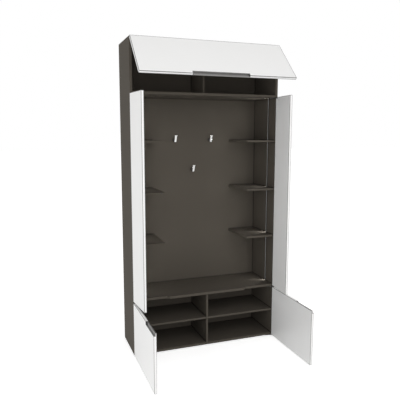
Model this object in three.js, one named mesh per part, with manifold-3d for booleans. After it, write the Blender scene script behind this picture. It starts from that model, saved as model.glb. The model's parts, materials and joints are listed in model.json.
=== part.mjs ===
// Mudroom locker unit: a dark carcass with an open coat bay between two columns of small shelves,
// shoe cubbies below, a compartment on top, and pale pivot-hung fronts.
// Millimetres, +Z up, the fronts face -Y. Every front stands as it does in the photograph: open.

import * as THREE from 'three';
import { mergeVertices } from 'three/addons/utils/BufferGeometryUtils.js';
import Module from 'manifold-3d';

const wasm = await Module();
wasm.setup();

// Carcass sizes
const unitWidth = 1000;
const carcassHeight = 1988;
const carcassDepth = 313;
const boardThickness = 16;
const shelfThickness = 12;
const backThickness = 8;
const glideHeight = 5;
const columnWidth = 200;

// Levels: the underside of the bench above the underside of the carcass, the clear height of the top
// compartments, and the undersides of the shelves as shares of the clear height that they divide
const benchLevel = 357;
const topClearHeight = 302;
const lowShelfShare = 0.506;
const smallShelfShares = [0.2642, 0.5172, 0.7705];

// Setbacks and the step in the bench
const topDividerSetback = 72;
const shelfCornerRadius = 5;
const benchStepRun = 25;
const benchStepClearance = 2;

// Fronts
const frontThickness = 16;
const frontBuffer = 2;
const frontReveal = 1;
const meetingGap = 3;
const doorSplitGap = 10;
const flapGap = 5.5;
const doorEndClearance = 1.5;
const tallDoorOpenDegrees = 85;
const lowDoorOpenDegrees = 90;
const flapOpenDegrees = 44.5;

// Clearances: pieces that touch, pieces that turn, and how far a cutting tool overruns
const seatGap = 0.3;
const runGap = 0.5;
const overrun = 1;

// Pivots: the axis lies where the inner corner of a front clears the carcass by swingClearance
const pivotDepthShare = 0.53;
const swingClearance = 0.54;
const pinRadius = 2;
const pinReach = 16;
const bushWall = 1.2;
const bushFlange = 0.8;
const bushFlangeHeight = 0.8;
const lugRadius = 4.3;
const pivotPlateThickness = 3;
const benchPlateThickness = 4;
const pivotPlateWidth = 37;
const pivotPlateLength = 40;
const collarRadius = 4;
const pocketLength = 26;

// Flap brackets
const flapBracketThickness = 3;
const flapBracketInset = 4;
const flapNotchWidth = 8;
const flapNotchHeight = 27;
const flapBracketNeck = 8;
const flapBracketFoot = 60;
const flapBracketFlange = 22;
const flapPinLength = 24;

// Edge pulls let into the fronts
const pullHeight = 18;
const pullDepth = 10;
const lowPullLength = 181;
const flapPullLength = 360;
const pullWall = 1.2;

// Coat hooks: places as shares of the bay's half width and clear height, then the sizes of one hook
const sideHookOffsetShare = 0.4577;
const sideHookShare = 0.7877;
const centreHookShare = 0.6276;
const hookWidth = 14;
const hookThickness = 4;
const hookRise = 46;
const hookLean = 19;
const hookStandOff = 27;
const hookHeadWidth = 19;
const hookHeadHeight = 7;
const hookHeadThickness = 6;
const hookStemRadius = 4.5;
const hookStemShare = 0.3;
const hookPinRadius = 2.5;
const rosetteRadius = 11;
const rosetteThickness = 3;

// Light bars: the setback is to the middle of the mouth
const lightSetback = 101;
const lightMouth = 8;
const lightLip = 6;
const lightDepth = 9;
const lightWall = 1.1;
const diffuserThickness = 1.8;
const stripWidth = 3.2;
const stripThickness = 1.2;
const stripStandOff = 3.5;

// Fixings
const dowelRadius = 3;
const boltRadius = 3.5;
const pegGrip = 11;
const fixingInset = 50;
const dowelSpacing = 32;
const screwRadius = 2;
const screwHeadRadius = 3.6;
const screwHeadHeight = 1.8;
const screwLength = 13;
const sunkHeadRadius = 4;
const glideRadius = 7;
const glideInset = 28;
const glideStem = 12;
const magnetRadius = 4;
const magnetLength = 10;
const wallBracketWidth = 24;
const wallBracketLeg = 34;
const wallBracketThickness = 3;
const wallBracketInset = 110;
const wallScrewRadius = 3;

// Places worked out from the sizes above
const halfWidth = unitWidth / 2;
const innerHalf = halfWidth - boardThickness;
const backFront = carcassDepth - backThickness;
const boardDepth = backFront - seatGap;
const rebate = boardThickness / 2;
const benchTop = benchLevel + boardThickness;
const topPanelLevel = carcassHeight - boardThickness;
const topShelfLevel = topPanelLevel - topClearHeight - boardThickness;
const lowShelfLevel = boardThickness + (benchLevel - boardThickness - shelfThickness) * lowShelfShare;
const bayHeight = topShelfLevel - benchTop;
const shelfEnd = innerHalf - columnWidth;
const shelfLevels = smallShelfShares.map((share) => benchTop + bayHeight * share);

const pivotForward = frontBuffer + frontThickness * pivotDepthShare;
const innerDepth = pivotForward - frontBuffer;
const outerDepth = frontThickness - innerDepth;
const pivotEdge = Math.sqrt((pivotForward - swingClearance) ** 2 - innerDepth ** 2);
const pivotX = halfWidth - frontReveal - pivotEdge;

const lowDoorBottom = doorEndClearance;
const lowDoorTop = benchLevel - benchPlateThickness - doorEndClearance;
const tallDoorBottom = lowDoorTop + doorSplitGap;
const flapTop = carcassHeight - frontReveal;
const flapBottom = topShelfLevel + boardThickness / 2;
const tallDoorTop = flapBottom - flapGap;
const flapPivotLevel = flapTop - pivotEdge;
const pocketFloor = topShelfLevel - pivotPlateThickness - doorEndClearance;
const lowDoorWidth = halfWidth - frontReveal - meetingGap / 2;
const tallDoorWidth = boardThickness + columnWidth - 2 * frontReveal;
const benchStepEnd = halfWidth - frontReveal - tallDoorWidth - benchStepClearance;
const frontFace = frontBuffer + frontThickness;
const bushRadius = pinRadius + seatGap + bushWall;

// Facets
const fine = 16;
const plain = 12;
const small = 8;

// Finishes
const finishes = {
  graphite: { color: 0x585450, roughness: 0.62, metalness: 0 },
  white: { color: 0xefeeec, roughness: 0.4, metalness: 0 },
  gunmetal: { color: 0x55534f, roughness: 0.4, metalness: 0.8 },
  steel: { color: 0xd8d8d8, roughness: 0.22, metalness: 1 },
  zinc: { color: 0x3c3b3a, roughness: 0.5, metalness: 0.8 },
  diffuser: { color: 0xf2efe6, roughness: 0.6, metalness: 0 },
  nylon: { color: 0x3a3a3a, roughness: 0.5, metalness: 0 },
};

// Tools for shapes

function toSolid(geometry) {
  const bare = geometry.clone();
  bare.deleteAttribute('normal');
  bare.deleteAttribute('uv');
  const merged = mergeVertices(bare);
  return new wasm.Manifold(new wasm.Mesh({
    numProp: 3,
    vertProperties: new Float32Array(merged.attributes.position.array),
    triVerts: new Uint32Array(merged.index.array),
  }));
}

function toGeometry(solid) {
  const mesh = solid.getMesh();
  const shared = new THREE.BufferGeometry();
  shared.setAttribute('position', new THREE.BufferAttribute(mesh.vertProperties, 3));
  shared.setIndex(new THREE.BufferAttribute(mesh.triVerts, 1));
  const faceted = shared.toNonIndexed();
  faceted.computeVertexNormals();
  return faceted;
}

// Takes the tools out of a body, after joining the extra pieces to it
function shape(body, tools, extras = []) {
  let solid = toSolid(body);
  for (const extra of extras) solid = solid.add(toSolid(extra));
  for (const tool of tools) solid = solid.subtract(toSolid(tool));
  return toGeometry(solid);
}

// A box between two corners, given in any order
function block(x0, x1, y0, y1, z0, z1) {
  const box = new THREE.BoxGeometry(Math.abs(x1 - x0), Math.abs(y1 - y0), Math.abs(z1 - z0));
  return box.translate((x0 + x1) / 2, (y0 + y1) / 2, (z0 + z1) / 2);
}

// A round bar from one point to another, along the X, Y or Z axis
function bar(radius, from, to, sides = small) {
  const start = new THREE.Vector3(...from);
  const along = new THREE.Vector3(...to).sub(start);
  const cylinder = new THREE.CylinderGeometry(radius, radius, along.length(), sides);
  const turn = new THREE.Quaternion().setFromUnitVectors(new THREE.Vector3(0, 1, 0), along.clone().normalize());
  const centre = start.addScaledVector(along, 1 / 2);
  return cylinder.applyQuaternion(turn).translate(centre.x, centre.y, centre.z);
}

// A turned piece: rows of [radius, height] from the axis round to the axis again, standing along +Z
function turned(rows, sides = plain) {
  const lathe = new THREE.LatheGeometry(rows.map(([r, h]) => new THREE.Vector2(r, h)), sides);
  return lathe.rotateX(Math.PI / 2);
}

// A plate with an outline in XY, standing from z0 up to z1
function plate(outline, z0, z1, curveSegments = small) {
  const body = new THREE.ExtrudeGeometry(outline, { depth: z1 - z0, bevelEnabled: false, curveSegments });
  return body.translate(0, 0, z0);
}

function polygon(points) {
  return new THREE.Shape(points.map(([x, y]) => new THREE.Vector2(x, y)));
}

// An outline given in (y, z), extruded along X from x0 to x1
function section(outline, x0, x1, curveSegments = small) {
  const low = Math.min(x0, x1);
  const body = new THREE.ExtrudeGeometry(outline, { depth: Math.abs(x1 - x0), bevelEnabled: false, curveSegments });
  // local x -> Y, local y -> Z, local z -> X
  const turn = new THREE.Matrix4().makeBasis(
    new THREE.Vector3(0, 1, 0), new THREE.Vector3(0, 0, 1), new THREE.Vector3(1, 0, 0));
  return body.applyMatrix4(turn).translate(low, 0, 0);
}

function add(parent, name, geometry, finish) {
  const mesh = new THREE.Mesh(geometry, new THREE.MeshStandardMaterial({ ...finishes[finish] }));
  mesh.name = name;
  parent.add(mesh);
  return mesh;
}

// Fixings, noted as the boards are placed

// Pegs (dowels, bolts and screws) are one with the piece that carries them, and their bores are
// drilled in the piece that receives them
const pegs = {};
const drillings = {};
const sides = [['left', -1], ['right', 1]];
const shelfNames = ['lower', 'middle', 'upper'];

function note(list, board, ...solids) {
  list[board] = (list[board] ?? []).concat(solids);
}

function finished(board, body, tools = []) {
  return shape(body, tools.concat(drillings[board] ?? []), pegs[board] ?? []);
}

// A peg on one piece that seats in a bore in another: rooted back into the first, reaching on into the second
function peg(carrier, receiver, radius, at, axis, root, reach) {
  const along = (distance) => at.map((value, index) => value + axis[index] * distance);
  note(pegs, carrier, bar(radius, along(-root), along(reach)));
  note(drillings, receiver, bar(radius + seatGap * 1.5, along(-seatGap * 2), along(reach + seatGap * 2)));
}

// Carcass

const unit = new THREE.Group();
const carcass = new THREE.Group();
carcass.position.z = glideHeight;
unit.add(carcass);

// Every level board is pegged into the side panels: dowels, and bolts beside them on the thick boards
const thickBoards = [['bottom_panel', 0], ['bench_board', benchLevel],
  ['top_shelf', topShelfLevel], ['top_panel', topPanelLevel]];
for (const [name, sign] of sides) {
  const side = `side_panel_${name}`;
  const thinBoards = [['low_shelf', lowShelfLevel],
    ...shelfLevels.map((level, index) => [`small_shelf_${name}_${shelfNames[index]}`, level])];
  const joints = [...thickBoards.map((board) => [...board, boardThickness]),
    ...thinBoards.map((board) => [...board, shelfThickness])];
  for (const [board, level, thickness] of joints) {
    const offsets = thickness === boardThickness ? [0, dowelSpacing] : [0];
    for (const offset of offsets) {
      const radius = offset ? boltRadius : dowelRadius;
      for (const y of [fixingInset + offset, boardDepth - fixingInset - offset]) {
        peg(board, side, radius, [sign * innerHalf, y, level + thickness / 2], [sign, 0, 0], pegGrip, pegGrip);
      }
    }
  }
}

// Dividers have dowels at both ends
const dividers = [
  ['low_divider_lower', 'bottom_panel', boardThickness, 'low_shelf', lowShelfLevel, 0],
  ['low_divider_upper', 'low_shelf', lowShelfLevel + shelfThickness, 'bench_board', benchLevel, 0],
  ['top_divider', 'top_shelf', topShelfLevel + boardThickness, 'top_panel', topPanelLevel, topDividerSetback],
];
const shallowGrip = shelfThickness / 2 - seatGap * 2;
for (const [divider, floorBoard, low, roofBoard, high, setback] of dividers) {
  const offset = floorBoard === 'low_shelf' ? dowelSpacing : 0;
  for (const y of [setback + fixingInset + offset, boardDepth - fixingInset - offset]) {
    peg(divider, floorBoard, dowelRadius, [0, y, low], [0, 0, -1], pegGrip, shallowGrip);
    peg(divider, roofBoard, dowelRadius, [0, y, high], [0, 0, 1], pegGrip, shallowGrip);
  }
}

// Countersunk screws through the back into the rear edges of the boards: they carry the small shelves
const backScrewX = innerHalf - columnWidth / 2;
function sunkScrew(shank, head, from, face, x, z) {
  const sink = face - (head - shank);
  return turned([[0, -face], [head, -face], [shank, -sink], [shank, -from], [0, -from]], small)
    .rotateX(Math.PI / 2).translate(x, 0, z);
}
function backScrew(board, x, z) {
  const loose = seatGap * 1.5;
  note(pegs, board, sunkScrew(screwRadius, sunkHeadRadius, boardDepth - screwLength, carcassDepth - seatGap, x, z));
  note(drillings, 'back_panel',
    sunkScrew(screwRadius + loose, sunkHeadRadius + loose, backFront - overrun, carcassDepth, x, z));
  note(drillings, 'back_panel', bar(sunkHeadRadius + loose, [x, carcassDepth, z], [x, carcassDepth + overrun, z]));
}
for (const [board, level] of thickBoards) {
  for (const x of [-backScrewX, backScrewX]) backScrew(board, x, level + boardThickness / 2);
}
for (const [name, sign] of sides) {
  backScrew('low_shelf', sign * backScrewX, lowShelfLevel + shelfThickness / 2);
  shelfLevels.forEach((level, index) => backScrew(
    `small_shelf_${name}_${shelfNames[index]}`, sign * backScrewX, level + shelfThickness / 2));
}

// A screw through a plate: its head is proud of the near face and its shank reaches on into the board
function screw(carrier, board, at, axis, thickness, reach) {
  const along = (distance) => at.map((value, index) => value + axis[index] * distance);
  note(pegs, carrier, bar(screwHeadRadius, along(-screwHeadHeight), along(thickness / 2)));
  note(pegs, carrier, bar(screwRadius, along(thickness / 2), along(reach)));
  note(drillings, board, bar(screwRadius + seatGap * 1.5, along(thickness), along(reach + seatGap * 2)));
}

// Pivot plates: screwed under a board, with a cranked neck that carries the pin in front of the side panel
function pivotPlateOutline(sign) {
  const at = (x, y) => [sign * x, y];
  const root = innerHalf - runGap;
  const inner = root - pivotPlateWidth;
  const neckFront = root - pocketLength / 2;
  const lug = [];
  for (let step = 0; step <= small; step += 1) {
    const angle = Math.PI * (step / small) - Math.PI / 2;
    lug.push(at(pivotX + lugRadius * Math.cos(angle), -pivotForward + lugRadius * Math.sin(angle)));
  }
  return polygon([
    at(root, pivotPlateLength), at(inner, pivotPlateLength), at(inner, runGap * 2), at(neckFront, -runGap),
    ...lug, at(pivotX, -runGap * 2), at(root, -runGap * 2),
  ]);
}

// The pin of each plate: into the top of a tall door, the bottom of a low door, or, through the bench
// plate, down into the low door and up past the collar that carries the tall door
const tallCollarTop = tallDoorBottom - bushFlangeHeight - seatGap;
const pinRows = {
  bottom: [[0, -pivotPlateThickness], [pinRadius, -pivotPlateThickness],
    [pinRadius, lowDoorBottom + pinReach], [0, lowDoorBottom + pinReach]],
  bench: [[0, lowDoorTop - pinReach], [pinRadius, lowDoorTop - pinReach], [pinRadius, benchLevel - runGap],
    [collarRadius, benchLevel - runGap], [collarRadius, tallCollarTop], [pinRadius, tallCollarTop],
    [pinRadius, tallDoorBottom + pinReach], [0, tallDoorBottom + pinReach]],
  top: [[0, pocketFloor - pinReach], [pinRadius, pocketFloor - pinReach],
    [pinRadius, topShelfLevel - seatGap], [0, topShelfLevel - seatGap]],
};
const plateSpans = [
  ['bottom', -pivotPlateThickness, 0, 'bottom_panel'],
  ['bench', benchLevel - benchPlateThickness, benchLevel, 'bench_board'],
  ['top', topShelfLevel - pivotPlateThickness, topShelfLevel, 'top_shelf'],
];
for (const [name, sign] of sides) {
  for (const [place, low, high, board] of plateSpans) {
    const carrier = `pivot_plate_${place}_${name}`;
    const x = sign * (innerHalf - runGap - pivotPlateWidth / 2);
    for (const y of [pivotPlateLength / 4, pivotPlateLength * 3 / 4]) {
      screw(carrier, board, [x, y, low], [0, 0, 1], high - low, screwLength);
    }
    note(pegs, carrier, turned(pinRows[place], fine).translate(sign * pivotX, -pivotForward, 0));
    add(carcass, carrier, finished(carrier, plate(pivotPlateOutline(sign), low, high - seatGap)), 'zinc');
  }
}

// Flap brackets: a gooseneck comes forward under the top panel and rises to the flap's pin
const flapBracketX = innerHalf - flapBracketInset - flapBracketThickness / 2;
const eyeRadius = Math.min(lugRadius, outerDepth - 2 * runGap);
const pinHole = pinRadius + seatGap;
for (const [name, sign] of sides) {
  const carrier = `flap_bracket_${name}`;
  const top = topPanelLevel - seatGap;
  const neckTop = topPanelLevel - runGap * 3;
  const neckBottom = neckTop - flapBracketNeck;
  const front = -pivotForward - eyeRadius;
  const gooseneck = new THREE.Shape();
  gooseneck.moveTo(front, flapPivotLevel);
  gooseneck.absarc(-pivotForward, flapPivotLevel, eyeRadius, Math.PI, 0, true);
  gooseneck.lineTo(-pivotForward + eyeRadius, neckTop);
  gooseneck.lineTo(runGap * 2, neckTop);
  gooseneck.lineTo(runGap * 2, top);
  gooseneck.lineTo(flapBracketFoot, top);
  gooseneck.lineTo(flapBracketFoot, neckTop - flapBracketThickness);
  gooseneck.lineTo(flapBracketFoot / 2, neckBottom);
  gooseneck.lineTo(front + eyeRadius / 2, neckBottom);
  gooseneck.lineTo(front, neckBottom + eyeRadius / 2);
  const near = sign * (flapBracketX - flapBracketThickness / 2);
  const far = sign * (flapBracketX + flapBracketThickness / 2);
  const flangeEnd = near - sign * flapBracketFlange;
  const x = (near + flangeEnd) / 2;
  note(pegs, carrier, block(flangeEnd, (near + far) / 2, runGap * 2, flapBracketFoot,
    top - flapBracketThickness, top));
  for (const y of [flapBracketFoot / 4, flapBracketFoot * 3 / 4]) {
    screw(carrier, 'top_panel', [x, y, top - flapBracketThickness], [0, 0, 1], flapBracketThickness, screwLength);
  }
  const hole = bar(pinHole, [near - sign * overrun, -pivotForward, flapPivotLevel],
    [far + sign * overrun, -pivotForward, flapPivotLevel], plain);
  add(carcass, carrier, finished(carrier, section(gooseneck, near, far), [hole]), 'zinc');
}

// Wall brackets under the back of the top panel, with a hole through the back for the wall screw
for (const [name, sign] of sides) {
  const carrier = `wall_bracket_${name}`;
  const x = sign * (innerHalf - wallBracketInset);
  const rear = backFront - seatGap;
  const top = topPanelLevel - seatGap;
  const profile = polygon([[rear, top], [rear, top - wallBracketLeg],
    [rear - wallBracketThickness, top - wallBracketLeg], [rear - wallBracketThickness, top - wallBracketThickness],
    [rear - wallBracketLeg, top - wallBracketThickness], [rear - wallBracketLeg, top]]);
  const holeLevel = top - wallBracketLeg * 2 / 3;
  const hole = bar(wallScrewRadius + seatGap, [x, rear - wallBracketLeg, holeLevel],
    [x, carcassDepth + overrun, holeLevel], plain);
  note(drillings, 'back_panel', hole);
  screw(carrier, 'top_panel', [x, rear - wallBracketLeg * 2 / 3, top - wallBracketThickness], [0, 0, 1],
    wallBracketThickness, screwLength);
  add(carcass, carrier, finished(carrier, section(profile, x - wallBracketWidth / 2, x + wallBracketWidth / 2),
    [hole]), 'zinc');
}

// Glides: a domed foot whose stem is driven into the side panel
for (const [name, sign] of sides) {
  for (const [end, y] of [['front', glideInset], ['rear', carcassDepth - glideInset]]) {
    const x = sign * (halfWidth - boardThickness / 2);
    add(carcass, `glide_${end}_${name}`, turned([[0, -glideHeight], [glideRadius * 2 / 3, -glideHeight],
      [glideRadius, -glideHeight * 2 / 3], [glideRadius, -seatGap], [pinRadius, -seatGap],
      [pinRadius, glideStem], [0, glideStem]], plain).translate(x, y, 0), 'nylon');
    note(drillings, `side_panel_${name}`,
      bar(pinRadius + seatGap * 1.5, [x, y, -overrun], [x, y, glideStem + seatGap * 2]));
  }
}

// Catches: magnets let into the front edges of the middle small shelves and of the low shelf
const catchRadius = Math.min(magnetRadius, shelfThickness / 2 - overrun);
for (const [name, sign] of sides) {
  const places = [
    ['tall', sign * (shelfEnd + columnWidth / 8), shelfLevels[1] + shelfThickness / 2, `small_shelf_${name}_middle`],
    ['low', sign * columnWidth / 4, lowShelfLevel + shelfThickness / 2, 'low_shelf'],
  ];
  for (const [door, x, z, board] of places) {
    add(carcass, `catch_${door}_${name}`, bar(catchRadius, [x, 0, z], [x, magnetLength, z], plain), 'nylon');
    note(drillings, board, bar(catchRadius + seatGap, [x, -overrun, z], [x, magnetLength + seatGap, z], plain));
  }
}

// Side panels: rebated for the back and grooved for the light bar
const lightFront = lightSetback - lightMouth / 2 - lightLip;
const lightRear = lightSetback + lightMouth / 2 + lightWall;
for (const [name, sign] of sides) {
  const board = `side_panel_${name}`;
  const body = plate(polygon([[sign * halfWidth, 0], [sign * halfWidth, carcassDepth],
    [sign * (innerHalf + rebate), carcassDepth], [sign * (innerHalf + rebate), boardDepth],
    [sign * innerHalf, boardDepth], [sign * innerHalf, 0]]), 0, carcassHeight);
  const groove = block(sign * (innerHalf - overrun), sign * (innerHalf + lightDepth + seatGap),
    lightFront - seatGap, lightRear + seatGap, benchTop, topShelfLevel);
  add(carcass, board, finished(board, body, [groove]), 'graphite');

  // The light bar: its lip hides the strip from the front, and the strip and the diffuser slope at 45
  // degrees, so that the light goes inward and to the rear. Points are (depth into the panel, distance
  // from the front)
  const low = benchTop + seatGap;
  const high = topShelfLevel - seatGap;
  const floor = lightDepth - lightWall;
  const lipEnd = lightFront + lightLip;
  const lipUnder = seatGap + lightWall;
  const inFront = lightFront + lightWall;
  const slope = Math.SQRT1_2;
  const back = diffuserThickness / slope;
  const seatFloor = lipEnd + floor - lipUnder - back - stripStandOff / slope;
  const seatLength = (seatFloor - inFront) / slope;
  const onSeat = (along, up) => [floor - (along + up) * slope, seatFloor - (along - up) * slope];
  const stripStart = (seatLength - stripWidth) / 2;
  const channel = [
    [seatGap, lightFront], [lightDepth, lightFront], [lightDepth, lightRear], [seatGap, lightRear],
    [seatGap, lightRear - lightWall], [floor, lightRear - lightWall], onSeat(0, 0),
    onSeat(stripStart, 0), onSeat(stripStart, stripThickness),
    onSeat(stripStart + stripWidth, stripThickness), onSeat(stripStart + stripWidth, 0),
    onSeat(seatLength, 0), [lipUnder, inFront], [lipUnder, lipEnd], [seatGap, lipEnd],
  ];
  const top = lipUnder + seatGap;
  const foot = floor - seatGap;
  const cover = [[top, lipEnd + top - lipUnder], [foot, lipEnd + foot - lipUnder],
    [foot, lipEnd + foot - lipUnder - back], [top, lipEnd + top - lipUnder - back]];
  const onWall = (points) => polygon(points.map(([depth, y]) => [sign * (innerHalf + depth), y]));
  add(carcass, `light_channel_${name}`, plate(onWall(channel), low, high), 'gunmetal');
  add(carcass, `light_diffuser_${name}`, plate(onWall(cover), low, high), 'diffuser');
}

// Level boards between the sides. The bench steps forward between the tall doors, flush with them
const reach = innerHalf - seatGap;
for (const [board, level] of thickBoards) {
  const outline = new THREE.Shape();
  outline.moveTo(-reach, boardDepth);
  outline.lineTo(-reach, 0);
  if (board === 'bench_board') {
    const start = benchStepEnd - benchStepRun;
    const middle = benchStepEnd - benchStepRun / 2;
    outline.lineTo(-benchStepEnd, 0);
    outline.bezierCurveTo(-middle, 0, -middle, -frontFace, -start, -frontFace);
    outline.lineTo(start, -frontFace);
    outline.bezierCurveTo(middle, -frontFace, middle, 0, benchStepEnd, 0);
  }
  outline.lineTo(reach, 0);
  outline.lineTo(reach, boardDepth);
  add(carcass, board, finished(board, plate(outline, level, level + boardThickness)), 'graphite');
}
add(carcass, 'low_shelf', finished('low_shelf', block(-reach, reach, 0, boardDepth,
  lowShelfLevel, lowShelfLevel + shelfThickness)), 'graphite');
for (const [divider, , low, , high, setback] of dividers) {
  add(carcass, divider, finished(divider, block(-shelfThickness / 2, shelfThickness / 2, setback, boardDepth,
    low + seatGap, high - seatGap)), 'graphite');
}

// Small shelves: carried by the side panel and the back, with their free front corner rounded
for (const [name, sign] of sides) {
  shelfLevels.forEach((level, index) => {
    const board = `small_shelf_${name}_${shelfNames[index]}`;
    const outline = new THREE.Shape();
    outline.moveTo(sign * reach, 0);
    outline.lineTo(sign * reach, boardDepth);
    outline.lineTo(sign * shelfEnd, boardDepth);
    outline.lineTo(sign * shelfEnd, shelfCornerRadius);
    outline.quadraticCurveTo(sign * shelfEnd, 0, sign * (shelfEnd + shelfCornerRadius), 0);
    add(carcass, board, finished(board, plate(outline, level, level + shelfThickness)), 'graphite');
  });
}

// Coat hooks: a leaning tongue with a wider head, held off the back by a stem on a round rosette
const sideHookOffset = shelfEnd * sideHookOffsetShare;
const hooks = [['left', -sideHookOffset, sideHookShare], ['right', sideHookOffset, sideHookShare],
  ['centre', 0, centreHookShare]];
for (const [name, x, share] of hooks) {
  const carrier = `coat_hook_${name}`;
  const wall = backFront - seatGap;
  const low = benchTop + bayHeight * share - hookRise / 2;
  const stemLevel = low + hookRise * hookStemShare;
  const rise = Math.hypot(hookRise, hookLean);
  // The tongue's front and rear faces, at a distance up its slope from its foot
  const face = (along, thickness) => [
    wall - hookStandOff - (along * hookLean - thickness * hookRise) / rise,
    low + (along * hookRise + thickness * hookLean) / rise,
  ];
  const tongue = polygon([face(0, 0), face(rise, 0), face(rise, hookThickness), face(0, hookThickness)]);
  const neck = rise - hookHeadHeight;
  const extra = (hookHeadThickness - hookThickness) / 2;
  const head = polygon([face(neck, -extra), face(rise, -extra), face(rise, hookThickness + extra),
    face(neck, hookThickness + extra)]);
  const stemEnd = face(rise * hookStemShare, hookThickness / 2)[0];
  const stem = turned([[0, 0], [rosetteRadius, 0], [rosetteRadius, rosetteThickness / 2],
    [rosetteRadius - rosetteThickness / 2, rosetteThickness], [hookStemRadius, rosetteThickness],
    [hookStemRadius, wall - stemEnd], [0, wall - stemEnd]], fine).rotateX(Math.PI / 2);
  note(pegs, carrier, stem.translate(x, wall, stemLevel));
  note(pegs, carrier, section(head, x - hookHeadWidth / 2, x + hookHeadWidth / 2));
  peg(carrier, 'back_panel', hookPinRadius, [x, wall, stemLevel], [0, 1, 0], rosetteThickness / 2,
    backThickness * 3 / 4);
  add(carcass, carrier, finished(carrier, section(tongue, x - hookWidth / 2, x + hookWidth / 2)), 'steel');
}

add(carcass, 'back_panel', finished('back_panel', block(-innerHalf - rebate + seatGap, innerHalf + rebate - seatGap,
  backFront, carcassDepth, 0, carcassHeight)), 'graphite');

// Fronts, drawn closed about their pivot axis and then swung open

// A flanged bush with its mouth at a level, going up or down into the front
function bush(level, up) {
  const rows = [[pinHole, -bushFlangeHeight], [bushRadius + bushFlange, -bushFlangeHeight],
    [bushRadius + bushFlange, -seatGap], [bushRadius, -seatGap], [bushRadius, pinReach], [pinHole, pinReach],
    [pinHole, -bushFlangeHeight]].map(([radius, height]) => [radius, up ? height : -height]);
  return turned(up ? rows : rows.reverse(), plain).translate(0, 0, level);
}

function bushBore(level, up) {
  const way = up ? 1 : -1;
  return bar(bushRadius + seatGap, [0, 0, level - way * overrun], [0, 0, level + way * (pinReach + seatGap * 2)], plain);
}

// The edge pull: a floor, a back leg and a lip over the wall that is left, outlined in (depth, height)
// from the outer face and from the edge that it is let into. Way is 1 at an upper edge, -1 at a lower one
function pullOutline(way, edge) {
  const leg = pullDepth - seatGap;
  const floor = -pullHeight + seatGap;
  return polygon([[0, floor], [leg, floor], [leg, -pullWall], [frontThickness - seatGap, -pullWall],
    [frontThickness - seatGap, 0], [leg - pullWall, 0], [leg - pullWall, floor + pullWall], [0, floor + pullWall],
  ].map(([depth, height]) => [depth - outerDepth, edge + way * height]));
}

function pullRebate(x0, x1, way, edge) {
  return [
    block(x0, x1, -outerDepth - overrun, -outerDepth + pullDepth, edge + way * overrun, edge - way * pullHeight),
    block(x0, x1, -outerDepth, innerDepth + overrun, edge + way * overrun, edge - way * (pullWall + seatGap)),
  ];
}

for (const [name, sign] of sides) {
  const doorX = (fromHinge) => -sign * (fromHinge - pivotEdge);
  const hang = (openDegrees) => {
    const hinge = new THREE.Group();
    hinge.position.set(sign * pivotX, -pivotForward, 0);
    hinge.rotation.z = sign * THREE.MathUtils.degToRad(openDegrees);
    carcass.add(hinge);
    return hinge;
  };
  const fitBushes = (hinge, door, upper, lower) => {
    add(hinge, `${door}_bush_upper_${name}`, bush(upper, false), 'nylon');
    add(hinge, `${door}_bush_lower_${name}`, bush(lower, true), 'nylon');
    return [bushBore(upper, false), bushBore(lower, true)];
  };

  // Tall door: a pocket in its upper hinge corner clears the pivot plate
  const tall = hang(tallDoorOpenDegrees);
  const pocket = block(doorX(-overrun), doorX(pocketLength), -lugRadius - runGap, innerDepth + overrun,
    pocketFloor, tallDoorTop + overrun);
  add(tall, `tall_door_${name}`, shape(block(doorX(0), doorX(tallDoorWidth), -outerDepth, innerDepth,
    tallDoorBottom, tallDoorTop), [pocket, ...fitBushes(tall, 'tall', pocketFloor, tallDoorBottom)]), 'white');

  // Low door: the edge pull runs out through its free edge
  const low = hang(lowDoorOpenDegrees);
  const free = doorX(lowDoorWidth);
  const pullStart = doorX(lowDoorWidth - lowPullLength);
  add(low, `low_door_${name}`, shape(block(doorX(0), free, -outerDepth, innerDepth, lowDoorBottom, lowDoorTop),
    [...pullRebate(pullStart, free - sign * overrun, 1, lowDoorTop),
      ...fitBushes(low, 'low', lowDoorTop, lowDoorBottom)]), 'white');
  add(low, `low_handle_${name}`, section(pullOutline(1, lowDoorTop), pullStart - sign * seatGap, free), 'gunmetal');
}

// The flap hangs from its upper edge: a notch clears each bracket, and a pin with washers crosses the notch
const flap = new THREE.Group();
flap.position.set(0, -pivotForward, flapPivotLevel);
flap.rotation.x = -THREE.MathUtils.degToRad(flapOpenDegrees);
carcass.add(flap);

const flapHalf = halfWidth - 2 * frontReveal;
const flapLow = flapBottom - flapPivotLevel;
const flapCuts = pullRebate(-flapPullLength / 2, flapPullLength / 2, -1, flapLow);
for (const [name, sign] of sides) {
  const middle = sign * flapBracketX;
  const notch = flapNotchWidth / 2;
  const cheek = notch - seatGap;
  const inner = flapBracketThickness / 2 + seatGap;
  const end = flapPinLength / 2;
  const washer = eyeRadius - runGap;
  flapCuts.push(block(middle - notch, middle + notch, -eyeRadius - runGap, innerDepth + overrun,
    pivotEdge - flapNotchHeight, pivotEdge + overrun));
  flapCuts.push(bar(pinHole, [middle - end - seatGap, 0, 0], [middle + end + seatGap, 0, 0], plain));
  const pin = turned([[0, -end], [pinRadius, -end], [pinRadius, -cheek], [washer, -cheek], [washer, -inner],
    [pinRadius, -inner], [pinRadius, inner], [washer, inner], [washer, cheek], [pinRadius, cheek],
    [pinRadius, end], [0, end]], plain);
  add(flap, `flap_pin_${name}`, pin.rotateY(Math.PI / 2).translate(middle, 0, 0), 'steel');
}
add(flap, 'flap', shape(block(-flapHalf, flapHalf, -outerDepth, innerDepth, flapLow, pivotEdge), flapCuts), 'white');
add(flap, 'flap_handle', section(pullOutline(-1, flapLow), -flapPullLength / 2 + seatGap,
  flapPullLength / 2 - seatGap), 'gunmetal');

// The origin is the middle of the space that the unit takes up with its fronts open, on the floor
const bounds = new THREE.Box3().setFromObject(unit, true);
const middle = bounds.getCenter(new THREE.Vector3());
unit.position.set(-middle.x, -middle.y, -bounds.min.z);

export default unit;
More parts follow.
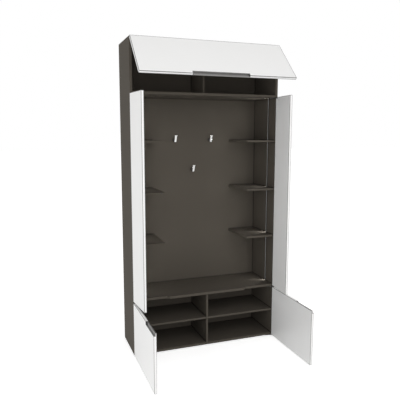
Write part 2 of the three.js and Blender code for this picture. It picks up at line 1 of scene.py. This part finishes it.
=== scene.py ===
# %% [markdown]
# # Dressing a mudroom locker unit
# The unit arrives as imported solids: dark boards, pale fronts, pivots, hooks and light bars.
# This notebook sets up the photograph's view and light, then gives every piece its finish,
# and replaces the solids whose edges and small fittings need a finer shape.

# %% Load the frame
import json
import math
import bmesh
import bpy
from mathutils import Matrix, Vector


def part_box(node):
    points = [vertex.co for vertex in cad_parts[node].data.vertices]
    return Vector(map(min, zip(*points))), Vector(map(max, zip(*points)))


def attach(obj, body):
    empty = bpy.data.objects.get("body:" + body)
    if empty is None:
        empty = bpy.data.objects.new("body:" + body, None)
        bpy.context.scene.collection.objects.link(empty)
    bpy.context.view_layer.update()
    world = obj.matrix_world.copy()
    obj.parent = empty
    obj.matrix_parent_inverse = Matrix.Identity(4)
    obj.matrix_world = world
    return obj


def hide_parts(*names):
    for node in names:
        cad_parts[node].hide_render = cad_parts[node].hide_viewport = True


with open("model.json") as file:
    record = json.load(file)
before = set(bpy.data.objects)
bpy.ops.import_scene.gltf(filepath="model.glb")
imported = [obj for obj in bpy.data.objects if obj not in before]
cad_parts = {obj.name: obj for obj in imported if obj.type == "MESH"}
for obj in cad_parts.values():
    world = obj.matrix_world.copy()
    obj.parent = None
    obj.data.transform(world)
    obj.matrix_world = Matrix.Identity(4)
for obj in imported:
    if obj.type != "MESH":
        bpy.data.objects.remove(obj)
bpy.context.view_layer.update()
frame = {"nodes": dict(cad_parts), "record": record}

nodes = frame["nodes"]
slot_of = {part["node"]: part["material_slot"] for part in frame["record"]["subparts"]}
bodies = frame["record"]["behaviour"]["bodies"]
body_of = {node: body for body, members in bodies.items() for node in members}
print("nodes:", len(nodes), "slots:", sorted(set(slot_of.values())))

# %% [markdown]
# ## Camera
# A camera is placed by the vanishing points of the object: level verticals, a turn to the right
# and a slight tilt down. The lens follows from how strongly the parallel edges close in.

# %% Camera
lens_mm, tilt_down, roll, turn = 43.575, 7.709, -0.031, -20.153


def placed(name, data):
    """A new object at the origin, linked to the scene."""
    made = bpy.data.objects.new(name, data)
    bpy.context.scene.collection.objects.link(made)
    return made


camera_data = bpy.data.cameras.new("photo_camera")
camera_data.sensor_fit = "HORIZONTAL"
camera_data.sensor_width = 36.0
camera_data.lens = lens_mm
camera = placed("photo_camera", camera_data)
camera.location = (-1.1227, -2.8218, 1.4159)
camera.rotation_euler = [math.radians(angle) for angle in (90.0 - tilt_down, roll, turn)]
bpy.context.scene.camera = camera
print("camera at", tuple(round(v, 3) for v in camera.location))

# %% [markdown]
# ## World
# A white studio gives a soft, even light from all round. A backdrop could be built as geometry,
# but a world colour needs none. It is white to the camera and in reflections, so that metal has
# something pale to mirror, and it lights the object with less than that.

# %% Node helpers


def feed(tree, socket, value):
    """Link a socket to another one, or set it to a plain value."""
    if isinstance(value, bpy.types.NodeSocket):
        tree.links.new(value, socket)
    else:
        socket.default_value = value


def math_node(tree, operation, *values, clamp=False):
    """The result of a Math node whose inputs are numbers or sockets."""
    node = tree.nodes.new("ShaderNodeMath")
    node.operation = operation
    node.use_clamp = clamp
    for socket, value in zip(node.inputs, values):
        feed(tree, socket, value)
    return node.outputs[0]


# %% World
bpy.context.scene.view_settings.view_transform = "Standard"
white = (1.0, 1.0, 1.0, 1.0)
world_tone, world_strength = (1.0, 0.995, 0.985, 1.0), 0.60


def seen_rays(tree):
    """1 for what is seen, directly, in a reflection or through glass, and 0 for lighting."""
    path = tree.nodes.new("ShaderNodeLightPath")
    seen = math_node(tree, "MAXIMUM", path.outputs["Is Camera Ray"], path.outputs["Is Glossy Ray"])
    return math_node(tree, "MAXIMUM", seen, path.outputs["Is Transmission Ray"])


def background(tree, colour, strength):
    """The output of a Background node."""
    node = tree.nodes.new("ShaderNodeBackground")
    node.inputs["Color"].default_value = colour
    node.inputs["Strength"].default_value = strength
    return node.outputs[0]


world = bpy.data.worlds.new("white_studio")
world.use_nodes = True
world_tree = world.node_tree
world_tree.nodes.clear()
world_mix = world_tree.nodes.new("ShaderNodeMixShader")
lighting = background(world_tree, world_tone, world_strength)
shown = background(world_tree, white, 1.0)
for socket, value in zip(world_mix.inputs, (seen_rays(world_tree), lighting, shown)):
    feed(world_tree, socket, value)
world_end = world_tree.nodes.new("ShaderNodeOutputWorld")
world_tree.links.new(world_mix.outputs[0], world_end.inputs["Surface"])
bpy.context.scene.world = world
print("world strength on the object:", world_strength)

# %% [markdown]
# ## Softboxes
# Three square lamps were balanced against the tones of the photograph: one far on the left for
# the side and the left doors, one high in front for the boards and the flap, and one low in
# front that reaches the backs of the compartments. Large lamps give the soft shadows of a studio.

# %% Softboxes
lamp_side, lamp_aim = 2.2, Vector((0.0, 0.1, 0.9))


def softbox(name, place, power):
    """A square area lamp that looks at the middle of the unit."""
    data = bpy.data.lights.new(name, "AREA")
    data.shape = "SQUARE"
    data.size = lamp_side
    data.energy = power
    lamp = placed(name, data)
    lamp.location = place
    lamp.rotation_euler = (lamp_aim - Vector(place)).to_track_quat("-Z", "Y").to_euler()


softbox("left_softbox", (-3.8, -2.0, 1.15), 37.0)
softbox("high_softbox", (0.5, -3.5, 3.2), 35.5)
softbox("low_softbox", (-1.0, -4.3, 1.25), 38.0)

# %% [markdown]
# ## Floor
# The floor is a large pale sheet. Where it is seen it adds a little light of its own, so that it
# meets the white world without a line, and it still takes the shadow under the unit.

# %% Floor
floor_half, floor_pale, floor_glow = 40.0, 0.86, 0.6
floor_mesh = bpy.data.meshes.new("studio_floor")
floor = placed("studio_floor", floor_mesh)
sheet = bmesh.new()
bmesh.ops.create_grid(sheet, x_segments=1, y_segments=1, size=floor_half)
sheet.to_mesh(floor_mesh)
sheet.free()
floor_material = bpy.data.materials.new("studio_floor")
floor_material.use_nodes = True
floor_tree = floor_material.node_tree
floor_inputs = floor_tree.nodes["Principled BSDF"].inputs
floor_values = {
    "Base Color": (floor_pale, floor_pale, floor_pale, 1.0),
    "Roughness": 0.9,
    "Specular IOR Level": 0.0,
    "Emission Color": white,
    "Emission Strength": math_node(floor_tree, "MULTIPLY", seen_rays(floor_tree), floor_glow),
}
for socket, value in floor_values.items():
    feed(floor_tree, floor_inputs[socket], value)
floor_mesh.materials.append(floor_material)
print("floor side:", round(floor.dimensions.x, 1), "m")

# %% [markdown]
# ## Shared effects
# Real board and lacquer are never perfectly even. Three small node groups serve the finishes:
# one gives a fine speckle with its height, one a slow drift in tone, and one a fine line of
# painted shade in the inner corners where two boards meet. A line could be drawn or modelled at
# each joint.
# Here the painted shade comes from how closed in the surface is within a few millimetres, so every
# joint gets it by itself.

# %% Group helpers


def new_group(name, inputs, outputs):
    """A shader node group with named sockets and its two end nodes."""
    group = bpy.data.node_groups.new(name, "ShaderNodeTree")
    for socket, kind, value in inputs:
        made = group.interface.new_socket(name=socket, in_out="INPUT", socket_type=kind)
        if value is not None:
            made.default_value = value
    for socket in outputs:
        group.interface.new_socket(name=socket, in_out="OUTPUT", socket_type="NodeSocketFloat")
    return group, group.nodes.new("NodeGroupInput"), group.nodes.new("NodeGroupOutput")


def group_noise(group, start, detail):
    """Noise at the vector and the scale that the group is given."""
    noise = group.nodes.new("ShaderNodeTexNoise")
    noise.inputs["Detail"].default_value = detail
    for socket in ("Vector", "Scale"):
        group.links.new(start.outputs[socket], noise.inputs[socket])
    return noise.outputs["Fac"]


# %% Speckle and drift
middle_tone = 0.5


def speckle_group():
    """Fine pores: a mask for colour and roughness, and a height for the bump."""
    group, start, end = new_group(
        "fine_speckle",
        [("Vector", "NodeSocketVector", None), ("Scale", "NodeSocketFloat", 900.0),
         ("Contrast", "NodeSocketFloat", 0.5)],
        ["Mask", "Height"],
    )
    pores = group_noise(group, start, detail=3.0)
    centred = math_node(group, "SUBTRACT", pores, middle_tone)
    contrast = start.outputs["Contrast"]
    mask = math_node(group, "MULTIPLY_ADD", centred, contrast, middle_tone)
    group.links.new(mask, end.inputs["Mask"])
    group.links.new(pores, end.inputs["Height"])
    return group


def drift_group():
    """A slow change of tone over a surface, from 0 to 1."""
    group, start, end = new_group(
        "tone_drift",
        [("Vector", "NodeSocketVector", None), ("Scale", "NodeSocketFloat", 3.0)],
        ["Mask"],
    )
    group.links.new(group_noise(group, start, detail=1.0), end.inputs["Mask"])
    return group


speckle, drift = speckle_group(), drift_group()
print("groups:", speckle.name, drift.name)

# %% Painted corner shade
corner_shade_reach, corner_shade_sharpness, corner_shade_samples = 0.007, 3.0, 8


def corner_shade_group():
    """Painted shade in the inner corners where boards meet: a mask from 0 in the corner to 1 on
    the open surface.
    """
    group, start, end = new_group(
        "painted_corner_shade",
        [("Reach", "NodeSocketFloat", corner_shade_reach),
         ("Sharpness", "NodeSocketFloat", corner_shade_sharpness)],
        ["Mask"],
    )
    # Painted shade: ambient occlusion within the reach tells how closed in each point is.
    near = group.nodes.new("ShaderNodeAmbientOcclusion")
    near.samples = corner_shade_samples
    group.links.new(start.outputs["Reach"], near.inputs["Distance"])
    openness, sharpness = near.outputs["AO"], start.outputs["Sharpness"]
    mask = math_node(group, "POWER", openness, sharpness, clamp=True)
    group.links.new(mask, end.inputs["Mask"])
    return group


corner_shade = corner_shade_group()
print("group:", corner_shade.name)

# %% [markdown]
# ## Finishes
# Each finish starts from two close tones that the speckle mixes, a roughness that follows the
# same speckle, and a very small bump. An even colour would do from afar, but close up it looks
# like plastic. One builder serves all the finishes, so they differ only in their numbers.

# %% Finish builder
drift_share, relief_depth = 0.25, 0.0002


def use_group(tree, group, **values):
    """The outputs of a shared group whose sockets get values or links."""
    node = tree.nodes.new("ShaderNodeGroup")
    node.node_tree = group
    for socket, value in values.items():
        feed(tree, node.inputs[socket], value)
    return node.outputs


def mixed(tree, factor, first, second):
    """Two colours mixed by a mask."""
    mix = tree.nodes.new("ShaderNodeMix")
    mix.data_type = "RGBA"
    for socket, value in (("Factor", factor), ("A", first), ("B", second)):
        feed(tree, mix.inputs[socket], value)
    return mix.outputs["Result"]


def finish(name, dark, light, roughness, metallic=0.0, scale=900.0, contrast=1.0, bump=0.05,
           stretch=(1.0, 1.0, 1.0), specular=0.5, shade_line=None, reach=corner_shade_reach):
    """A material whose tone, roughness and relief follow the shared speckle and drift."""
    material = bpy.data.materials.new(name)
    material.use_nodes = True
    tree = material.node_tree
    place = tree.nodes.new("ShaderNodeTexCoord").outputs["Object"]
    mapping = tree.nodes.new("ShaderNodeMapping")
    mapping.inputs["Scale"].default_value = stretch
    tree.links.new(place, mapping.inputs["Vector"])
    fine = use_group(tree, speckle, Scale=scale, Contrast=contrast,
                     Vector=mapping.outputs["Vector"])
    slow = use_group(tree, drift, Vector=place)
    blend = math_node(tree, "MULTIPLY_ADD", slow["Mask"], drift_share, fine["Mask"], clamp=True)
    colour = mixed(tree, blend, (*dark, 1.0), (*light, 1.0))
    # Painted shade: toward the inner corners where boards meet, the colour turns to a near-black
    # shade colour.
    if shade_line is not None:
        corner_shade_mask = use_group(tree, corner_shade, Reach=reach)
        colour = mixed(tree, corner_shade_mask["Mask"], (*shade_line, 1.0), colour)
    rough = tree.nodes.new("ShaderNodeMapRange")
    rough.inputs["To Min"].default_value, rough.inputs["To Max"].default_value = roughness
    tree.links.new(fine["Mask"], rough.inputs["Value"])
    relief = tree.nodes.new("ShaderNodeBump")
    relief.inputs["Strength"].default_value = bump
    relief.inputs["Distance"].default_value = relief_depth
    tree.links.new(fine["Height"], relief.inputs["Height"])
    looks = {"Base Color": colour, "Metallic": metallic, "Specular IOR Level": specular,
             "Roughness": rough.outputs["Result"], "Normal": relief.outputs["Normal"]}
    for socket, value in looks.items():
        feed(tree, tree.nodes["Principled BSDF"].inputs[socket], value)
    return material


# %% [markdown]
# ## Board and lacquer
# The carcass is furniture board with a dull graphite face and fine pores, and the fronts have a
# smooth white lacquer with a soft sheen. Painted shade darkens the board in its inner corners; on
# the bench and the small shelves, which lie in full light, it is shorter. The eased edges of the
# fronts get a grey that paints a shade line round them.

# %% Board and lacquer
# Painted shade: the board colour turns near black in the inner corners where boards meet.
board_look = dict(
    dark=(0.0695, 0.061, 0.050), light=(0.088, 0.077, 0.0635), roughness=(0.66, 0.80),
    contrast=1.4, bump=0.25, specular=0.08, shade_line=(0.012, 0.010, 0.008),
)
board = finish("graphite_board", **board_look)
level_board = finish("graphite_level_board", **board_look, reach=0.0025)
lacquer = finish("white_lacquer", (0.835, 0.835, 0.832), (0.875, 0.875, 0.872), (0.34, 0.42),
                 scale=420.0, contrast=0.8, bump=0.04)
# Painted shade: a grey for the eased edges of the fronts that draws a shade line round them.
edge_shade = finish("painted_edge_shade", (0.16, 0.16, 0.158), (0.21, 0.21, 0.207), (0.40, 0.50),
               scale=420.0, contrast=0.8, bump=0.02)
print("finishes:", board.name, level_board.name, lacquer.name, edge_shade.name)

# %% [markdown]
# ## Metals, nylon and the light
# The pulls are brushed metal. Brushing is the same speckle, drawn out along the length of the
# profile, which costs no image. The hooks are satin steel with a black stem, and pivots and
# magnets are black zinc. The light bars' channel swallows light, and the opal diffuser gives it.

# %% Metals, nylon and the light
along_x, along_y, along_z = (0.04, 1.0, 1.0), (1.0, 0.04, 1.0), (1.0, 1.0, 0.04)
gunmetal_look = dict(
    dark=(0.19, 0.186, 0.182), light=(0.30, 0.295, 0.29), roughness=(0.30, 0.46),
    metallic=0.85, contrast=1.6, bump=0.10,
)
low_pull = finish("gunmetal_brushed_deep", **gunmetal_look, stretch=along_y)
flap_pull = finish("gunmetal_brushed_wide", **gunmetal_look, stretch=along_x)
channel = finish("black_anodised_channel", (0.004, 0.004, 0.004), (0.0065, 0.0065, 0.0065),
                 (0.75, 0.85), contrast=1.2, stretch=along_z, specular=0.0)
hook_steel = finish("hook_satin_steel", (0.60, 0.60, 0.59), (0.68, 0.68, 0.67), (0.18, 0.30),
                    metallic=1.0, scale=600.0)
hook_black = finish("hook_black_stem", (0.020, 0.019, 0.018), (0.034, 0.032, 0.030),
                    (0.35, 0.50), metallic=0.4, scale=500.0)
zinc = finish("black_zinc", (0.030, 0.029, 0.028), (0.060, 0.058, 0.055), (0.35, 0.50),
              metallic=0.8, scale=300.0, contrast=1.5, bump=0.08)
nylon = finish("dark_nylon", (0.020, 0.020, 0.021), (0.035, 0.035, 0.036), (0.45, 0.6),
               scale=500.0, bump=0.10)
diffuser = finish("opal_diffuser", (0.78, 0.76, 0.70), (0.84, 0.82, 0.76), (0.50, 0.60),
                  scale=300.0, contrast=0.8, bump=0.03)
glow_tone, glow_strength = (1.0, 1.0, 0.99, 1.0), 48.0
diffuser_inputs = diffuser.node_tree.nodes["Principled BSDF"].inputs
diffuser_inputs["Emission Color"].default_value = glow_tone
diffuser_inputs["Emission Strength"].default_value = glow_strength
print("light bars glow at", glow_strength)

# %% [markdown]
# ## Finishes on the nodes
# Each imported solid names its material slot, so a table from slot to finish dresses nearly all of
# them. A few nodes differ from their slot: the flap's pull is brushed the other way, the light
# channels are black, and the level boards have the shorter painted corner shade.

# %% Finishes on the nodes
finish_of_slot = {
    "carcass_board": board, "front_lacquer": lacquer, "gunmetal": low_pull,
    "hook_metal": hook_steel, "zinc": zinc, "nylon": nylon, "diffuser": diffuser,
}
finish_of_node = {
    "flap_handle": flap_pull, "light_channel_left": channel, "light_channel_right": channel,
}
for name in nodes:
    if name == "bench_board" or name.startswith("small_shelf"):
        finish_of_node[name] = level_board
for name, piece in nodes.items():
    material = finish_of_node.get(name, finish_of_slot[slot_of[name]])
    if not piece.material_slots:
        piece.data.materials.append(material)
    for slot in piece.material_slots:
        slot.material = material
print("dressed nodes:", len(nodes), "with a finish of their own:", len(finish_of_node))

# %% [markdown]
# ## Eased edges
# Board that is edge-banded and lacquered fronts have no knife edges: a router takes off a
# fraction of a millimetre. A bevelled copy of each large solid catches light there. The copy is
# merged and its flat faces joined first, so that the bevel meets only the real edges. A lacquered
# front gets a thin grey outline of painted shade: the bevel and a narrow inset strip beside it get
# a grey finish of their own.

# %% Shell helpers
merge_distance, flat_angle = 1e-6, math.radians(1.0)


def merged_shell(node):
    """The mesh of a node with doubled points merged and each flat face in one piece."""
    shell = bmesh.new()
    shell.from_mesh(nodes[node].data)
    bmesh.ops.remove_doubles(shell, verts=shell.verts, dist=merge_distance)
    bmesh.ops.dissolve_limit(shell, angle_limit=flat_angle, verts=shell.verts,
                             edges=shell.edges)
    return shell


def round_off(shell, edges, width, segments):
    """Round edges by a bevel, and give its faces."""
    made = bmesh.ops.bevel(shell, geom=edges, offset=width, offset_type="OFFSET",
                           segments=segments, profile=0.5, affect="EDGES",
                           clamp_overlap=True, material=-1)
    return made["faces"]


# %% Eased copies
edge_angle, shortest_eased = math.radians(50.0), 0.03
smallest_edge_shaded, degenerate_size = 0.0015, 2e-6


def eased(node, width, segments=2, longer_than=shortest_eased, shade_line=None, shade_line_width=0.0):
    """A bevelled copy of a node that stands for it.

    The bevel and a narrow strip beside it may get a finish of their own, a grey that paints a
    shade line along the edges.
    """
    mesh = nodes[node].data.copy()
    mesh.name = node + "_eased"
    piece = placed(node + "_eased", mesh)
    shell = merged_shell(node)
    sharp = [edge for edge in shell.edges
             if edge.is_manifold and edge.calc_length() > longer_than
             and edge.calc_face_angle() > edge_angle and edge.is_convex]
    rounded = round_off(shell, sharp, width, segments)
    # Painted shade: the bevel and an inset strip beside it take the grey edge finish.
    if shade_line is not None:
        mesh.materials.append(shade_line)
        curved = set(rounded)
        flat = [face for face in shell.faces
                if face not in curved and face.calc_area() > smallest_edge_shaded]
        strips = bmesh.ops.inset_individual(shell, faces=flat, thickness=shade_line_width,
                                            use_even_offset=True)
        for face in rounded + strips["faces"]:
            face.material_index = 1
    bmesh.ops.dissolve_degenerate(shell, dist=degenerate_size, edges=shell.edges)
    shell.to_mesh(mesh)
    shell.free()
    for polygon in mesh.polygons:
        polygon.use_smooth = False
    body = body_of[node]
    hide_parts(node)
    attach(piece, body)
    return piece, len(sharp)


# %% Boards, fronts and pulls
front_ease, board_ease, pull_ease = 0.0015, 0.0005, 0.0002
pull_shortest, edge_shade_width = 0.008, 0.0012
front_edge_shade_width = {"flap": 0.0026}
front_shortest = {"tall_door_left": 0.006, "tall_door_right": 0.006}
eased_edges = {}
for node, slot in slot_of.items():
    if slot == "front_lacquer":
        eased_edges[node] = eased(
            node, front_ease, segments=3, longer_than=front_shortest.get(node, shortest_eased),
            shade_line=edge_shade, shade_line_width=front_edge_shade_width.get(node, edge_shade_width))[1]
    elif slot == "carcass_board":
        eased_edges[node] = eased(node, board_ease)[1]
    elif node.endswith(("handle", "handle_left", "handle_right")):
        eased_edges[node] = eased(node, pull_ease, longer_than=pull_shortest)[1]
print("eased edges:", eased_edges)

# %% [markdown]
# ## Coat hooks
# Each hook has two finishes: a bright tongue, and a dark stem with its rosette. They are one
# solid, so the copy of the hook gets both materials, and its faces are told apart by which side
# of the tongue's rear face they lie on.

# %% Hooks
hook_ease, hook_shortest, seat_gap = 0.0008, 0.003, 0.0003
tongue_lean = 19.0 / 46.0
tongue_rear, foot_rise = 0.0248, 0.0015
hook_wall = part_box("back_panel")[0][1] - seat_gap
for node in sorted(name for name in nodes if name.startswith("coat_hook")):
    hook, count = eased(node, hook_ease, segments=3, longer_than=hook_shortest)
    hook.data.materials.append(hook_black)
    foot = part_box(node)[0][2] + foot_rise
    for polygon in hook.data.polygons:
        depth = polygon.center.y - (hook_wall - tongue_rear)
        behind = depth + (polygon.center.z - foot) * tongue_lean
        polygon.material_index = 1 if behind > 0.0 else 0
    dark = sum(polygon.material_index for polygon in hook.data.polygons)
    print(node, "eased edges:", count, "dark faces:", dark, "of", len(hook.data.polygons))

# %% [markdown]
# ## End caps of the pulls
# An edge pull is a cut length of metal profile, and a small black cap closes each cut end that
# sits in its recess. A cap could be cut from the profile itself, but it is a plain block, so it
# is made as one and laid out along the front that carries it: outward from the face, toward the
# pulled edge, and along the pull. The low doors stand open at a right angle, and the flap at
# its own angle.

# %% Pieces of their own
block_ease = 0.0003


def add_block(shell, corner, ways, sizes):
    """A closed block from its far corner, three directions and three sizes, with eased edges."""
    turned = Matrix(ways).transposed().to_4x4()
    middle = corner - sum((way * size / 2.0 for way, size in zip(ways, sizes)), Vector())
    place = Matrix.Translation(middle) @ turned @ Matrix.Diagonal((*sizes, 1.0))
    made = bmesh.ops.create_cube(shell, size=1.0, matrix=place)
    edges = list(dict.fromkeys(edge for vert in made["verts"] for edge in vert.link_edges))
    round_off(shell, edges, block_ease, segments=2)


def carried(name, shell, material, body):
    """A piece of its own on a body, made from a bmesh."""
    bmesh.ops.recalc_face_normals(shell, faces=shell.faces)
    open_edges = sum(1 for edge in shell.edges if not edge.is_manifold)
    mesh = bpy.data.meshes.new(name)
    shell.to_mesh(mesh)
    shell.free()
    mesh.materials.append(material)
    piece = placed(name, mesh)
    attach(piece, body)
    print(name, "faces:", len(mesh.polygons), "open edges:", open_edges)


# %% Pull caps
cap_length, recess_depth, cap_lead = 0.0022, 0.0098, 0.00006
flap_open = math.radians(44.5)
left, right = Vector((-1.0, 0.0, 0.0)), Vector((1.0, 0.0, 0.0))
up, rear = Vector((0.0, 0.0, 1.0)), Vector((0.0, 1.0, 0.0))
flap_outward = Vector((0.0, -math.cos(flap_open), math.sin(flap_open)))
flap_edgeward = Vector((0.0, -math.sin(flap_open), -math.cos(flap_open)))
pull_ends = [
    ("pull_cap_low_left", "low_handle_left", "low_door_left", (left, up, rear)),
    ("pull_cap_low_right", "low_handle_right", "low_door_right", (right, up, rear)),
    ("pull_cap_flap_left", "flap_handle", "flap", (flap_outward, flap_edgeward, left)),
    ("pull_cap_flap_right", "flap_handle", "flap", (flap_outward, flap_edgeward, right)),
]
for name, handle, body, ways in pull_ends:
    points = [vert.co for vert in nodes[handle].data.vertices]
    outward, edgeward, along = ways
    reach = [max(point.dot(way) for point in points) for way in ways]
    depth = reach[1] - min(point.dot(edgeward) for point in points)
    corner = (outward * (reach[0] + cap_lead) + edgeward * (reach[1] + cap_lead)
              + along * reach[2])
    cap = bmesh.new()
    add_block(cap, corner, ways, (recess_depth, depth, cap_length))
    carried(name, cap, nylon, body)

# %% [markdown]
# ## Screw heads
# The screws are one solid with the board or plate that they hold, and their heads are plain
# eight-sided discs. A merged copy of a solid shows every head as one face of a known area, which
# gives its place, so that no list of places is needed. A round zinc cap goes over each: a low
# cone with a rounded rim under the plates, a thin flat one on the countersunk heads in the back.

# %% Find the screw heads
head_radius = {"carcass_board": 0.0040, "zinc": 0.0036}
head_outward = {"carcass_board": rear, "zinc": Vector((0.0, 0.0, -1.0))}
head_sides, facing, area_tolerance = 8, 0.99, 0.02


def head_faces(node, radius, outward):
    """Centre of each eight-sided face of this radius that looks outward."""
    head_area = 4.0 * radius * radius * math.sin(math.pi / 4.0)
    shell = merged_shell(node)
    found = [face.calc_center_median() for face in shell.faces
             if len(face.verts) == head_sides and face.normal.dot(outward) > facing
             and abs(face.calc_area() / head_area - 1.0) < area_tolerance]
    shell.free()
    return found


screw_places = []
for node, slot in slot_of.items():
    if slot in head_radius:
        outward = head_outward[slot]
        centres = head_faces(node, head_radius[slot], outward)
        screw_places += [(centre, outward, slot) for centre in centres]
print("screw heads found:", len(screw_places))

# %% Screw caps
cap_height = {"carcass_board": 0.0003, "zinc": 0.0019}
cap_proud, cap_sides, cap_overlap, cap_taper, rim_share = 0.00012, 32, 0.00005, 0.96, 0.3
level_tolerance = 1e-5


def facing_turn(outward):
    """The turn that brings Z to a direction."""
    return outward.to_track_quat("Z", "Y").to_matrix().to_4x4()


def add_cap(shell, centre, outward, radius, height):
    """A round cap whose outer rim is rounded."""
    middle = centre + outward * (cap_proud - height / 2.0)
    made = bmesh.ops.create_cone(
        shell, cap_ends=True, cap_tris=False, segments=cap_sides, radius1=radius + cap_overlap,
        radius2=radius * cap_taper, depth=height,
        matrix=Matrix.Translation(middle) @ facing_turn(outward))
    face_level = (centre + outward * cap_proud).dot(outward)
    outer = {vert for vert in made["verts"]
             if abs(vert.co.dot(outward) - face_level) < level_tolerance}
    rim = [edge for edge in shell.edges if edge.verts[0] in outer and edge.verts[1] in outer]
    round_off(shell, rim, height * rim_share, segments=3)


caps = bmesh.new()
for centre, outward, slot in screw_places:
    add_cap(caps, centre, outward, head_radius[slot], cap_height[slot])
screw_finish = finish("screw_zinc", (0.16, 0.16, 0.155), (0.26, 0.26, 0.25), (0.32, 0.45),
                      metallic=0.9, contrast=1.2)
carried("screw_caps", caps, screw_finish, "carcass")

# %% [markdown]
# ## Cross recesses
# A driver needs a cross in each head. Cutting it would tear up the small cap, and it is seen
# only from near by, so a small dark cross is let in there, painted shade that stands for the
# hollow: a cube whose four sides are drawn out, so it stays one closed form.

# %% Cross recesses
cross_arm, cross_reach, cross_sunk, cross_proud = 0.0009, 0.0015, 0.0002, 0.00004


def add_cross(shell, centre, outward):
    """A closed cross with its face just above the cap."""
    depth = cross_sunk + cross_proud
    middle = centre + outward * (cap_proud + cross_proud - depth / 2.0)
    sizes = Matrix.Diagonal((cross_arm, cross_arm, depth, 1.0))
    place = Matrix.Translation(middle) @ facing_turn(outward) @ sizes
    made = bmesh.ops.create_cube(shell, size=1.0, matrix=place)
    faces = list(dict.fromkeys(face for vert in made["verts"] for face in vert.link_faces))
    for face in faces:
        face.normal_update()
    sides = [(face, face.normal.copy()) for face in faces
             if abs(face.normal.dot(outward)) < 0.5]
    for face, away in sides:
        arm = bmesh.ops.extrude_discrete_faces(shell, faces=[face])
        bmesh.ops.translate(shell, verts=list(arm["faces"][0].verts), vec=away * cross_reach)


crosses = bmesh.new()
for centre, outward, slot in screw_places:
    add_cross(crosses, centre, outward)
# Painted shade: the cross is near black, as the hollow of a real recess would look in shade.
recess_shade_finish = finish("recess_shadow", (0.006, 0.006, 0.006), (0.012, 0.012, 0.012),
                       (0.55, 0.70), metallic=0.3)
carried("screw_crosses", crosses, recess_shade_finish, "carcass")

# %% [markdown]
# ## The end
# The view layer is brought up to date.

# %% The end
bpy.context.view_layer.update()
